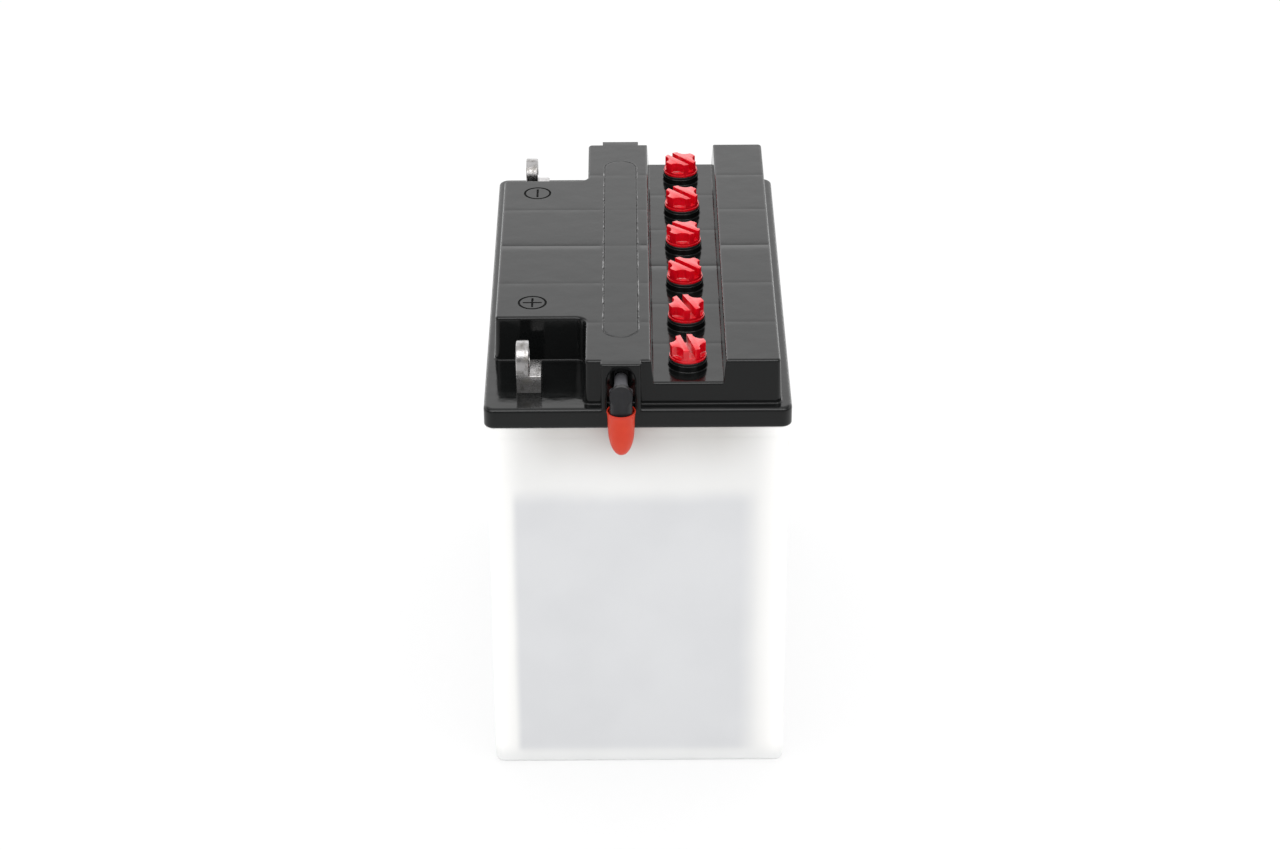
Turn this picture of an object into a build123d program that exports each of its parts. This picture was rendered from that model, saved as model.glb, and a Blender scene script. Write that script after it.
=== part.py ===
"""Six-cell flooded motorcycle battery, about 12 V 19 Ah, built as its real pieces.

The frame: +Z is up, the origin is the centre of the underside, the long side runs
along Y and the vented end faces -Y. All sizes are in millimetres.
"""
from build123d import *
import os
from math import cos, radians, sin, tan

os.makedirs("parts", exist_ok=True)

# ---------------------------------------------------------------- overall sizes
LENGTH = 175.0              # over the lid's rim, along Y
WIDTH = 100.0               # over the lid's rim, along X
HEIGHT = 155.0              # underside to the top of the ridges
CELLS = 6
CUT = 1.0                   # how far a cutting shape runs past the face that it opens
TOUCH = 0.01                # places closer than this are the same

# ---------------------------------------------------------------- case
CASE_INSET = 0.75           # the lid's rim overhangs the case by this much all round
CASE_WALL = 2.4
CASE_FLOOR = 3.0
CASE_CORNER_R = 3.0
CASE_INNER_R = 1.0
CASE_FOOT_R = 2.0           # rounding of the bottom edges
CASE_BAND_HEIGHT = 3.8      # thicker band below the weld
CASE_BAND_PROUD = 0.3
PARTITION = 1.6
MUD_RIB_HEIGHT = 3.0        # ribs on the floor that carry the plates
MUD_RIB_WIDTH = 2.4
MUD_RIBS = 4

# ---------------------------------------------------------------- plate packs
POSITIVES = 4               # plates per cell; negatives are one more
POSITIVE_T = 2.4
NEGATIVE_T = 1.9
PACK_SIDE_GAP = 7.6         # between the plates and the case's long walls
PACK_END_GAP = 0.25         # between the outer plates and the partitions
HEADROOM = 31.8             # plates' top to the top edge of the case's walls
SEPARATOR_PROUD = 1.5       # past the plates at the sides and the top
LUG_INSET = 9.25            # plates' sides to the lugs' middles, one polarity on each side
LUG_WIDTH = 10.0
LUG_HEIGHT = 8.5
STRAP_WIDTH = 18.0
STRAP_T = 4.5
STRAP_ENDS = 0.8            # past the outer lugs at the end away from the weld
TOMBSTONE_T = 3.0           # upright of the strap that lies against the partition
TOMBSTONE_WIDTH = 13.0
TOMBSTONE_HEIGHT = 12.0
WELD_R = 4.0                # lead slug through the partition
WELD_CLEARANCE = 0.02
POST_R = 3.6                # post from the end straps up to the terminals

# ---------------------------------------------------------------- lid, outside
RIM_HEIGHT = 7.0
RAISED_HEIGHT = 15.7        # block and ridges above the rim
RIM_CORNER_R = 3.5
RIM_TOP_R = 1.2
RIM_BOTTOM_R = 0.7
LEDGE_END = 3.5             # rim to the raised part's ends
LEDGE_LEFT = 2.7
LEDGE_RIGHT = 3.4
DRAFT = 2.0                 # degrees, walls of the raised part
RAISED_CORNER_R = 1.8
RAISED_INNER_R = 3.0
RAISED_EDGE_R = 0.9
BLOCK_LENGTH = 107.0        # broad block between the two terminal recesses
RIDGE_WIDTH = 21.8          # ridge with the gas gallery
CHANNEL_INSET = 33.6        # rim's right side to the middle of the channel and the vent plugs
CHANNEL_WIDTH = 22.8        # at its floor
CHANNEL_DEPTH = 8.0
CHANNEL_DRAFT = 5.0         # degrees
MARK_DEPTH = 0.35           # engraved polarity marks
MARK_RING_R = 4.85
MARK_LINE = 0.75
MARK_BAR = 6.4
MARK_INSET_X = 15.2         # from the rim's left side
MARK_INSET_Y = 11.2         # from the block's end wall

# ---------------------------------------------------------------- lid, inside
LID_T = 2.2                 # roof
LID_WALL = 2.4
GALLERY_TO_CHANNEL = 21.8   # middle of the gas gallery, elbow and cap to the channel's middle
GALLERY_WIDTH = 7.6
GALLERY_WALL = 1.6
GALLERY_DEPTH = 9.4         # below the ridge's top
GALLERY_FRONT_WALL = 3.2    # between the elbow's niche and the gallery
GALLERY_SHORT = 10.0        # its far end, short of the raised part's end
GALLERY_DRAIN_R = 1.25      # one hole per cell
COVER_WIDTH = 11.3
COVER_LENGTH = 136.0
COVER_SHIFT = 1.0           # along Y
COVER_T = 1.6
COVER_GAP = 0.15

# ---------------------------------------------------------------- vent housings on the lid's ends
HOUSING_WIDTH = 12.9
HOUSING_ROOT = 3.0          # how far it reaches into the raised part
HOUSING_LEAN = 1.4          # how far its face leans back at the top
HOUSING_EDGE_R = 0.7
NICHE_WIDTH = 9.4           # arched niche that the elbow comes out of
NICHE_DEPTH = 4.5
NICHE_RISE = 0.7            # middle of its arch above the elbow's axis

# ---------------------------------------------------------------- vent elbow and cap
ELBOW_DROP = 6.7            # its axis below the ridge's top
ELBOW_TAIL_R = 2.1
ELBOW_TAIL = 4.6            # length inside the lid
ELBOW_FIT = 0.05            # radial, tail in its bore
ELBOW_NECK_R = 2.5
ELBOW_FLARE_R = 3.72
ELBOW_COLLAR = 1.7
LEG_WIDTH = 7.45
LEG_DEPTH = 6.6
LEG_CORNER_R = 2.3
LEG_DROP = 7.9              # from the axis to the shoulder above the nozzle
NOZZLE_R = 3.0
NOZZLE_LENGTH = 10.5
NOZZLE_BORE_R = 1.6
NOZZLE_CHAMFER = 0.5
CAP_STANDOFF = 0.55         # clear of the rim
CAP_R = 4.35
CAP_FLARE_R = 4.74
CAP_FLARE_HEIGHT = 3.2
CAP_RIM = 1.3               # rises past the shoulder
CAP_RIM_BORE_R = 4.2
CAP_FIT = 0.08              # radial, over the nozzle
CAP_END_GAP = 0.3           # below the nozzle's end
CAP_TIP = 4.5               # solid tip below the nozzle
CAP_NOSE = 8.0              # length of the bullet nose
NOSE_ANGLES = (8, 30, 50, 70, 90)   # degrees round the nose's half ellipse, flat below the first

# ---------------------------------------------------------------- terminals
TERMINAL_INSET_X = 10.5     # rim's left side to the flag
TERMINAL_INSET_Y = 17.2     # rim's end to the flag's middle
TERMINAL_WIDTH = 11.4       # along Y
FLAG_T = 4.2
FLAG_HEIGHT = 15.7
PAD_LENGTH = 8.2            # along X, flag included
PAD_HEIGHT = 6.15
TERMINAL_HOLE_R = 3.3
TERMINAL_EDGE_R = 0.4
STEM_X = 5.6                # through the lid
STEM_Y = 8.0
ANCHOR_PROUD = 1.6
ANCHOR_T = 2.0

# ---------------------------------------------------------------- vent plugs
PLUG_PITCH = 3.0            # of the screw thread
PLUG_ROOT_R = 4.4
PLUG_CREST_R = 5.0
THREAD_ROOT_W = 1.7
THREAD_CREST_W = 0.7
THREAD_LENGTH = 5.0
THREAD_DROP = 0.3           # its top below the neck's top
THREAD_CLEARANCE = 0.16     # between the plug's thread and the neck's
THREAD_OVERLAP = 0.1        # how far a thread's root reaches into the wall that carries it
NECK_BORE_CLEARANCE = 0.2   # bore over the plug's root
NECK_R = 6.35
NECK_PROUD = 2.2            # neck above the channel's floor
NECK_DROP = 11.0            # neck below the channel's floor
SEAL_R = 6.1
SEAL_T = 0.8
SEAL_CLEARANCE = 0.2        # seal's hole over the plug's root
FLANGE_R = 6.1
FLANGE_T = 0.8
CROWN_R = 5.85
CROWN_HEIGHT = 4.1
CROWN_EDGE_R = 0.4
SLOT_WIDTH = 2.5
SLOT_DEPTH = 3.2
NOTCH_R = 1.25
NOTCH_DEPTH = 3.0
PLUG_DEPTH = 11.5           # below the flange
PLUG_BORE_R = 3.1
PLUG_ROOF = 1.4             # solid between the bore and the slot's floor, below the flange
NOTCH_ANGLES = (60, 120, 240, 300)     # degrees from the slot's line
CROWN_TURNS = (14, 22, 44, 50, 42, 40)   # degrees, where each plug came to rest

# ---------------------------------------------------------------- worked-out places
case_l = LENGTH - 2 * CASE_INSET
case_w = WIDTH - 2 * CASE_INSET
inner_l = case_l - 2 * CASE_WALL
inner_w = case_w - 2 * CASE_WALL
pitch_y = (inner_l + PARTITION) / CELLS
cell_y = [(n - (CELLS - 1) / 2) * pitch_y for n in range(CELLS)]
partition_y = [(n - CELLS / 2) * pitch_y for n in range(1, CELLS)]
deck_z = HEIGHT - RAISED_HEIGHT
case_height = deck_z - RIM_HEIGHT
channel_z = HEIGHT - CHANNEL_DEPTH
raised_left = -WIDTH / 2 + LEDGE_LEFT
raised_right = WIDTH / 2 - LEDGE_RIGHT
raised_end = LENGTH / 2 - LEDGE_END
channel_x = WIDTH / 2 - CHANNEL_INSET
channel_top_w = CHANNEL_WIDTH + 2 * CHANNEL_DEPTH * tan(radians(CHANNEL_DRAFT))
ridge_left = channel_x - channel_top_w / 2 - RIDGE_WIDTH
block_end = BLOCK_LENGTH / 2
gallery_x = channel_x - GALLERY_TO_CHANNEL
gallery_top = HEIGHT - LID_T
gallery_floor = HEIGHT - GALLERY_DEPTH
niche_back = -LENGTH / 2 + NICHE_DEPTH
gallery_y0 = niche_back + GALLERY_FRONT_WALL
gallery_y1 = raised_end - GALLERY_SHORT
elbow_z = HEIGHT - ELBOW_DROP
shoulder_z = elbow_z - LEG_DROP
nozzle_y = -LENGTH / 2 - CAP_STANDOFF - CAP_R
terminal_x = -WIDTH / 2 + TERMINAL_INSET_X
terminal_y = LENGTH / 2 - TERMINAL_INSET_Y
stem_x = terminal_x + PAD_LENGTH / 2
anchor_z = deck_z - LID_T - ANCHOR_T
neck_top = channel_z + NECK_PROUD
flange_z = neck_top + SEAL_T
thread_z0 = neck_top - THREAD_LENGTH - THREAD_ROOT_W / 2 - THREAD_DROP
plates_z = CASE_FLOOR + MUD_RIB_HEIGHT
plate_w = inner_w - 2 * PACK_SIDE_GAP
plates_top = case_height - HEADROOM
lug_x = plate_w / 2 - LUG_INSET
lug_top = plates_top + LUG_HEIGHT
strap_top = lug_top + STRAP_T
weld_z = strap_top + TOMBSTONE_HEIGHT / 2
pack_t = pitch_y - PARTITION - 2 * PACK_END_GAP
separator_t = (pack_t - POSITIVES * POSITIVE_T - (POSITIVES + 1) * NEGATIVE_T) / (2 * POSITIVES)


def block(x0, x1, y0, y1, z0, z1):
    """A box given by its two corners."""
    return Pos((x0 + x1) / 2, (y0 + y1) / 2, (z0 + z1) / 2) * Box(x1 - x0, y1 - y0, z1 - z0)


def upright(width, depth, radius, z0, z1, x=0.0, y=0.0):
    """A box with rounded upright corners, centred at x, y."""
    return Pos(x, y, z0) * extrude(RectangleRounded(width, depth, radius), z1 - z0)


def rod(radius, z0, z1, x=0.0, y=0.0):
    """An upright cylinder."""
    return Pos(x, y, (z0 + z1) / 2) * Cylinder(radius, z1 - z0)


def rod_y(radius, y0, y1, x, z):
    """A cylinder along Y."""
    return Pos(x, (y0 + y1) / 2, z) * Rot(90, 0, 0) * Cylinder(radius, y1 - y0)


def side_of(cell, polarity):
    """-1 or 1: the side of a cell where the lugs of one polarity rise. It swaps from cell to cell."""
    first = -1 if polarity == "positive" else 1
    return first if cell % 2 == 0 else -first


# ---------------------------------------------------------------- case
def case():
    """Open-topped container with five partitions and the ribs that the plates stand on."""
    shell = upright(case_w, case_l, CASE_CORNER_R, 0, case_height)
    shell = fillet(shell.edges().group_by(Axis.Z)[0], CASE_FOOT_R)
    band_z = case_height - CASE_BAND_HEIGHT
    shell += upright(case_w + 2 * CASE_BAND_PROUD, case_l + 2 * CASE_BAND_PROUD,
                     CASE_CORNER_R + CASE_BAND_PROUD, band_z, case_height)
    shell -= upright(inner_w, inner_l, CASE_INNER_R, CASE_FLOOR, case_height + CUT)
    for y in partition_y:
        shell += block(-inner_w / 2, inner_w / 2, y - PARTITION / 2, y + PARTITION / 2,
                       CASE_FLOOR, case_height)
    for n in range(MUD_RIBS):
        x = (n - (MUD_RIBS - 1) / 2) * plate_w / MUD_RIBS
        shell += block(x - MUD_RIB_WIDTH / 2, x + MUD_RIB_WIDTH / 2, -inner_l / 2, inner_l / 2,
                       CASE_FLOOR, CASE_FLOOR + MUD_RIB_HEIGHT)
    for cell, y in enumerate(partition_y):
        x = side_of(cell, "negative") * lug_x
        shell -= rod_y(WELD_R + WELD_CLEARANCE, y - PARTITION, y + PARTITION, x, weld_z)
    return shell


# ---------------------------------------------------------------- plate packs, straps and welds
def plate(polarity, cell, y, thickness):
    """One pasted plate standing on the ribs, with its lug."""
    body = block(-plate_w / 2, plate_w / 2, y - thickness / 2, y + thickness / 2,
                 plates_z, plates_top)
    x = side_of(cell, polarity) * lug_x
    return body + block(x - LUG_WIDTH / 2, x + LUG_WIDTH / 2, y - thickness / 2, y + thickness / 2,
                        plates_top, lug_top)


def plate_pack(cell):
    """The positive plates, negative plates and separators of one cell."""
    y = cell_y[cell] - pack_t / 2
    groups = {"positive": [], "negative": [], "separators": []}
    for place in range(2 * POSITIVES + 1):
        polarity = "negative" if place % 2 == 0 else "positive"
        thickness = NEGATIVE_T if polarity == "negative" else POSITIVE_T
        groups[polarity].append(plate(polarity, cell, y + thickness / 2, thickness))
        y += thickness
        if place < 2 * POSITIVES:
            half = plate_w / 2 + SEPARATOR_PROUD
            groups["separators"].append(block(-half, half, y, y + separator_t, plates_z,
                                              plates_top + SEPARATOR_PROUD))
            y += separator_t
    return groups


def strap(cell, polarity):
    """Lead bar over the lugs, with an upright against the partition, or the post at an end cell."""
    x = side_of(cell, polarity) * lug_x
    y = cell_y[cell]
    half = pack_t / 2 - NEGATIVE_T - separator_t
    if polarity == "negative":
        half = pack_t / 2
    low = y - half - STRAP_ENDS
    high = y + half + STRAP_ENDS
    low = max(low, y - (pitch_y - PARTITION) / 2)
    high = min(high, y + (pitch_y - PARTITION) / 2)
    joins_next = polarity == "negative" and cell < CELLS - 1
    joins_last = polarity == "positive" and cell > 0
    if joins_next:
        high = y + (pitch_y - PARTITION) / 2
        stone = (high - TOMBSTONE_T, high)
    if joins_last:
        low = y - (pitch_y - PARTITION) / 2
        stone = (low, low + TOMBSTONE_T)
    bar = block(x - STRAP_WIDTH / 2, x + STRAP_WIDTH / 2, low, high, lug_top, strap_top)
    if joins_next or joins_last:
        return bar + block(x - TOMBSTONE_WIDTH / 2, x + TOMBSTONE_WIDTH / 2, stone[0], stone[1],
                           strap_top, strap_top + TOMBSTONE_HEIGHT)
    sign = -1 if cell == 0 else 1
    return bar + rod(POST_R, strap_top, anchor_z, stem_x, sign * terminal_y)


def partition_welds():
    """Five lead slugs that join the straps of neighbouring cells through the partitions."""
    slugs = []
    for cell, y in enumerate(partition_y):
        x = side_of(cell, "negative") * lug_x
        slugs.append(rod_y(WELD_R, y - PARTITION / 2, y + PARTITION / 2, x, weld_z))
    return Compound(children=slugs)


# ---------------------------------------------------------------- lid
def is_inner_corner(vertex):
    """True at the two corners where the block meets the ridge."""
    return abs(vertex.X - ridge_left) < TOUCH and abs(abs(vertex.Y) - block_end) < TOUCH


def raised_part():
    """Block, two ridges and the channel between them, with drafted walls and rounded edges."""
    corners = [(raised_left, -block_end), (ridge_left, -block_end), (ridge_left, -raised_end),
               (raised_right, -raised_end), (raised_right, raised_end), (ridge_left, raised_end),
               (ridge_left, block_end), (raised_left, block_end)]
    outline = make_face(Polyline(*corners, close=True))
    outline = fillet([v for v in outline.vertices() if not is_inner_corner(v)], RAISED_CORNER_R)
    outline = fillet([v for v in outline.vertices() if is_inner_corner(v)], RAISED_INNER_R)
    body = Pos(0, 0, deck_z) * extrude(outline, RAISED_HEIGHT, taper=DRAFT)
    floor_half = CHANNEL_WIDTH / 2
    top_half = channel_top_w / 2
    section = Plane.XZ * make_face(Polyline(
        (channel_x - floor_half, channel_z), (channel_x + floor_half, channel_z),
        (channel_x + top_half, HEIGHT), (channel_x + top_half, HEIGHT + CUT),
        (channel_x - top_half, HEIGHT + CUT), (channel_x - top_half, HEIGHT), close=True))
    body -= extrude(section, LENGTH, both=True)
    tops = [e for e in body.edges() if e.center().Z > HEIGHT - TOUCH]
    body = fillet(tops, RAISED_EDGE_R)
    ends = [e for e in body.edges().filter_by(Axis.X) if abs(e.center().Z - channel_z) < TOUCH]
    return fillet(ends, RAISED_EDGE_R)


def rim():
    """Flat plate that is welded to the case; its top is the ledge and the recesses' floor."""
    plate_ = upright(WIDTH, LENGTH, RIM_CORNER_R, case_height, deck_z)
    plate_ = fillet(plate_.edges().group_by(Axis.Z)[-1], RIM_TOP_R)
    return fillet(plate_.edges().group_by(Axis.Z)[0], RIM_BOTTOM_R)


def vent_housing(sign):
    """Block on an end wall that the gas gallery opens into; the far one is blind."""
    face = LENGTH / 2
    inside = raised_end - HOUSING_ROOT
    section = Plane.YZ * make_face(Polyline(
        (sign * inside, case_height + RIM_BOTTOM_R), (sign * face, case_height + RIM_BOTTOM_R),
        (sign * face, deck_z), (sign * (face - HOUSING_LEAN), HEIGHT), (sign * inside, HEIGHT),
        close=True))
    body = Pos(gallery_x, 0, 0) * extrude(section, HOUSING_WIDTH / 2, both=True)
    rounded = [e for e in body.edges()
               if e.center().Z > deck_z + HOUSING_EDGE_R and abs(e.center().Y) > raised_end]
    return fillet(rounded, HOUSING_EDGE_R)


def niche():
    """Arched hollow around the elbow's neck."""
    half = NICHE_WIDTH / 2
    y0, y1 = -LENGTH / 2 - CUT, niche_back
    arch_z = elbow_z + NICHE_RISE
    arch = rod_y(half, y0, y1, gallery_x, arch_z)
    return arch + block(gallery_x - half, gallery_x + half, y0, y1, deck_z, arch_z)


def lid_hollow():
    """Gas space under the roof, before the ribs, necks and gallery are left standing in it."""
    wall = LID_WALL
    top = HEIGHT - LID_T
    low = case_height - CUT
    channel_l = channel_x - CHANNEL_WIDTH / 2
    channel_r = channel_x + CHANNEL_WIDTH / 2
    hollow = block(-inner_w / 2, inner_w / 2, -inner_l / 2, inner_l / 2, low, deck_z - LID_T)
    hollow += block(raised_left + wall, channel_l - wall, -block_end + wall, block_end - wall, low, top)
    hollow += block(ridge_left + wall, channel_l - wall, -raised_end + wall, raised_end - wall, low, top)
    hollow += block(ridge_left + wall, raised_right - wall, -raised_end + wall, raised_end - wall,
                    low, channel_z - LID_T)
    hollow += block(channel_r + wall, raised_right - wall, -raised_end + wall, raised_end - wall,
                    low, top)
    return hollow


def gallery_box():
    """Outside of the gas gallery: a trough that hangs under the ridge's roof."""
    half = GALLERY_WIDTH / 2 + GALLERY_WALL
    return block(gallery_x - half, gallery_x + half, niche_back, gallery_y1 + GALLERY_WALL,
                 gallery_floor - GALLERY_WALL, HEIGHT - LID_T / 2)


def cover_shape(gap, z0, z1):
    """Stadium outline of the gallery's cover, shrunk by gap."""
    outline = SlotOverall(COVER_LENGTH - 2 * gap, COVER_WIDTH - 2 * gap, rotation=90)
    return Pos(gallery_x, COVER_SHIFT, z0) * extrude(outline, z1 - z0)


def gallery_space():
    """Inside of the gallery, its drain holes and the seat of its cover."""
    half = GALLERY_WIDTH / 2
    inside = block(gallery_x - half, gallery_x + half, gallery_y0, gallery_y1, gallery_floor, gallery_top)
    seat_end = COVER_LENGTH / 2 - COVER_WIDTH / 2
    inside += block(gallery_x - half, gallery_x + half, COVER_SHIFT - seat_end, COVER_SHIFT + seat_end,
                    gallery_top - CUT, HEIGHT - COVER_T)
    inside += cover_shape(0, HEIGHT - COVER_T, HEIGHT + CUT)
    for y in cell_y:
        inside += rod(GALLERY_DRAIN_R, gallery_floor - 2 * GALLERY_WALL, gallery_floor + CUT, gallery_x, y)
    return inside


def thread(radius_in, radius_out, root_w, crest_w, z0, length):
    """Right-hand trapezoid thread on a cylinder about the Z axis, whole turns from angle 0."""
    path = Helix(PLUG_PITCH, length, radius_in, center=(0, 0, z0))
    depth = radius_out - radius_in
    plane = Plane(origin=path @ 0, x_dir=(1, 0, 0), z_dir=path % 0)
    section = plane * make_face(Polyline(
        (0, -root_w / 2), (depth, -crest_w / 2), (depth, crest_w / 2), (0, root_w / 2), close=True))
    return sweep(section, path=path, is_frenet=True)



def neck_thread():
    """Internal thread of a filler neck, about the Z axis: the plug's thread with clearance."""
    bore_r = PLUG_ROOT_R + NECK_BORE_CLEARANCE
    grow = 2 * THREAD_CLEARANCE
    return thread(bore_r - THREAD_OVERLAP, PLUG_CREST_R + THREAD_CLEARANCE, THREAD_ROOT_W + grow,
                  THREAD_CREST_W + grow, thread_z0 - PLUG_PITCH,
                  neck_top + THREAD_ROOT_W / 2 + grow - thread_z0 + PLUG_PITCH)


def polarity_marks():
    """Engraved ring with a plus by the positive terminal, and ring with a minus by the other."""
    x = -WIDTH / 2 + MARK_INSET_X
    y = block_end - MARK_INSET_Y
    z0 = HEIGHT - MARK_DEPTH
    marks = []
    for sign in (-1, 1):
        ring = rod(MARK_RING_R, z0, HEIGHT + CUT, x, sign * y)
        ring -= rod(MARK_RING_R - MARK_LINE, z0 - CUT, HEIGHT + 2 * CUT, x, sign * y)
        marks.append(ring)
        marks.append(block(x - MARK_LINE / 2, x + MARK_LINE / 2, sign * y - MARK_BAR / 2,
                           sign * y + MARK_BAR / 2, z0, HEIGHT + CUT))
    marks.append(block(x - MARK_BAR / 2, x + MARK_BAR / 2, -y - MARK_LINE / 2, -y + MARK_LINE / 2,
                       z0, HEIGHT + CUT))
    return marks


def lid():
    """One moulding: rim, raised part, vent housings, filler necks, gallery and partition ribs."""
    outside = rim() + raised_part() + vent_housing(-1) + vent_housing(1)
    kept = gallery_box()
    for y in partition_y:
        kept += block(-inner_w / 2, inner_w / 2, y - PARTITION / 2, y + PARTITION / 2,
                      case_height, HEIGHT)
    for y in cell_y:
        kept += rod(NECK_R, channel_z - NECK_DROP, HEIGHT, channel_x, y)
    body = outside - (lid_hollow() - kept)
    for y in cell_y:
        body += rod(NECK_R, channel_z - LID_T, neck_top, channel_x, y)
    body -= gallery_space()
    body -= niche()
    body -= rod_y(ELBOW_TAIL_R + ELBOW_FIT, niche_back - CUT, gallery_y0 + CUT, gallery_x, elbow_z)
    groove = neck_thread()
    for y in cell_y:
        body -= rod(PLUG_ROOT_R + NECK_BORE_CLEARANCE, channel_z - NECK_DROP - CUT, neck_top + CUT,
                    channel_x, y)
        body -= Pos(channel_x, y, 0) * groove
    for sign in (-1, 1):
        body -= Pos(stem_x, sign * terminal_y, deck_z - LID_T / 2) * Box(STEM_X, STEM_Y, 2 * LID_T)
    for mark in polarity_marks():
        body -= mark
    return body


def gallery_cover():
    """Flush stadium-shaped cover, welded over the gas gallery."""
    return cover_shape(COVER_GAP, HEIGHT - COVER_T, HEIGHT)


# ---------------------------------------------------------------- vent elbow and cap
def vent_elbow():
    """Elbow from the gallery to the hose: tail, flared neck, leg and nozzle."""
    front = nozzle_y - LEG_DEPTH / 2
    collar = front + ELBOW_COLLAR
    flare = collar - niche_back
    neck = Pos(gallery_x, (collar + niche_back) / 2, elbow_z) * Rot(90, 0, 0) * Cone(
        ELBOW_NECK_R, ELBOW_FLARE_R, -flare)
    body = neck + rod_y(ELBOW_FLARE_R, front, collar, gallery_x, elbow_z)
    body += rod_y(ELBOW_TAIL_R, niche_back, niche_back + ELBOW_TAIL, gallery_x, elbow_z)
    leg = upright(LEG_WIDTH, LEG_DEPTH, LEG_CORNER_R, shoulder_z, elbow_z, gallery_x, nozzle_y)
    body += leg
    nozzle = rod(NOZZLE_R, shoulder_z - NOZZLE_LENGTH, shoulder_z + CUT, gallery_x, nozzle_y)
    nozzle = chamfer(nozzle.edges().group_by(Axis.Z)[0], NOZZLE_CHAMFER)
    body += nozzle
    body -= rod(NOZZLE_BORE_R, shoulder_z - NOZZLE_LENGTH - CUT, elbow_z, gallery_x, nozzle_y)
    body -= rod_y(NOZZLE_BORE_R, nozzle_y, niche_back + ELBOW_TAIL + CUT, gallery_x, elbow_z)
    return body


def vent_cap():
    """Soft push-on cap that closes the nozzle until a hose is fitted."""
    tip_z = shoulder_z - NOZZLE_LENGTH - CAP_TIP
    rim_z = shoulder_z + CAP_RIM
    nose_z = tip_z + CAP_NOSE
    flare_z = rim_z - CAP_FLARE_HEIGHT
    nose = [(CAP_R * sin(radians(a)), nose_z - CAP_NOSE * cos(radians(a))) for a in NOSE_ANGLES]
    edges = Spline(*nose, tangents=((1, 0.2), (0, 1))) + Line((CAP_R, nose_z), (CAP_R, flare_z))
    edges += TangentArc((CAP_R, flare_z), (CAP_FLARE_R, rim_z), tangent=(0, 1))
    edges += Polyline((CAP_FLARE_R, rim_z), (0, rim_z), (0, nose[0][1]), nose[0])
    body = revolve(Plane.XZ * make_face(edges), Axis.Z)
    body -= rod(NOZZLE_R + CAP_FIT, shoulder_z - NOZZLE_LENGTH - CAP_END_GAP, rim_z + CUT)
    body -= rod(CAP_RIM_BORE_R, shoulder_z, rim_z + CUT)
    return Pos(gallery_x, nozzle_y, 0) * body


# ---------------------------------------------------------------- terminals
def terminal(sign):
    """Lead terminal moulded into the lid: upright flag, bolting pad, stem and anchor."""
    y = sign * terminal_y
    half = TERMINAL_WIDTH / 2
    head_z = deck_z + FLAG_HEIGHT - half
    flag = block(terminal_x, terminal_x + FLAG_T, y - half, y + half, deck_z, head_z)
    flag += Pos(terminal_x + FLAG_T / 2, y, head_z) * Rot(0, 90, 0) * Cylinder(half, FLAG_T)
    pad = block(terminal_x, terminal_x + PAD_LENGTH, y - half, y + half, deck_z, deck_z + PAD_HEIGHT)
    body = flag + pad
    sharp = [e for e in body.edges() if e.center().Z > deck_z + TOUCH]
    body = fillet(sharp, TERMINAL_EDGE_R)
    body -= Pos(terminal_x, y, head_z) * Rot(0, 90, 0) * Cylinder(TERMINAL_HOLE_R, 4 * FLAG_T)
    under = deck_z - LID_T
    body += Pos(stem_x, y, (under + deck_z) / 2) * Box(STEM_X, STEM_Y, LID_T)
    body += Pos(stem_x, y, (anchor_z + under) / 2) * Box(
        STEM_X + 2 * ANCHOR_PROUD, STEM_Y + 2 * ANCHOR_PROUD, ANCHOR_T)
    return body


# ---------------------------------------------------------------- vent plugs
def vent_plug(turn):
    """Screw plug: hollow threaded body, flange, and a crown with a coin slot and finger notches."""
    crown_z = flange_z + FLANGE_T
    top = crown_z + CROWN_HEIGHT
    crown = rod(CROWN_R, crown_z, top)
    for angle in NOTCH_ANGLES:
        x = CROWN_R * cos(radians(angle))
        y = CROWN_R * sin(radians(angle))
        crown -= rod(NOTCH_R, top - NOTCH_DEPTH, top + CUT, x, y)
    crown -= Pos(0, 0, top + (CUT - SLOT_DEPTH) / 2) * Box(3 * CROWN_R, SLOT_WIDTH, SLOT_DEPTH + CUT)
    upper = [e for e in crown.edges() if e.center().Z > top - TOUCH]
    crown = Rot(0, 0, 90 + turn) * fillet(upper, CROWN_EDGE_R)
    body = rod(FLANGE_R, flange_z, crown_z) + crown
    body += rod(PLUG_ROOT_R, flange_z - PLUG_DEPTH, flange_z)
    body -= rod(PLUG_BORE_R, flange_z - PLUG_DEPTH - CUT, flange_z - PLUG_ROOF)
    body += thread(PLUG_ROOT_R - THREAD_OVERLAP, PLUG_CREST_R, THREAD_ROOT_W, THREAD_CREST_W,
                   thread_z0, THREAD_LENGTH)
    return body


def plug_seal():
    """Flat rubber ring between the plug's flange and the neck."""
    hole = rod(PLUG_ROOT_R + SEAL_CLEARANCE, neck_top - CUT, flange_z + CUT)
    return rod(SEAL_R, neck_top, flange_z) - hole


# ---------------------------------------------------------------- everything, one STEP per piece
def write(name, shape):
    export_step(shape, f"parts/{name}.step")


write("case", case())
write("lid", lid())
write("gallery_cover", gallery_cover())
write("vent_elbow", vent_elbow())
write("vent_cap", vent_cap())
write("terminal_positive", terminal(-1))
write("terminal_negative", terminal(1))
write("partition_welds", partition_welds())
for cell in range(CELLS):
    place = Pos(channel_x, cell_y[cell], 0)
    pack = plate_pack(cell)
    write(f"vent_plug_{cell + 1}", place * vent_plug(CROWN_TURNS[cell]))
    write(f"plug_seal_{cell + 1}", place * plug_seal())
    write(f"positive_plates_{cell + 1}", Compound(children=pack["positive"]))
    write(f"negative_plates_{cell + 1}", Compound(children=pack["negative"]))
    write(f"separators_{cell + 1}", Compound(children=pack["separators"]))
    write(f"positive_strap_{cell + 1}", strap(cell, "positive"))
    write(f"negative_strap_{cell + 1}", strap(cell, "negative"))
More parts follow.
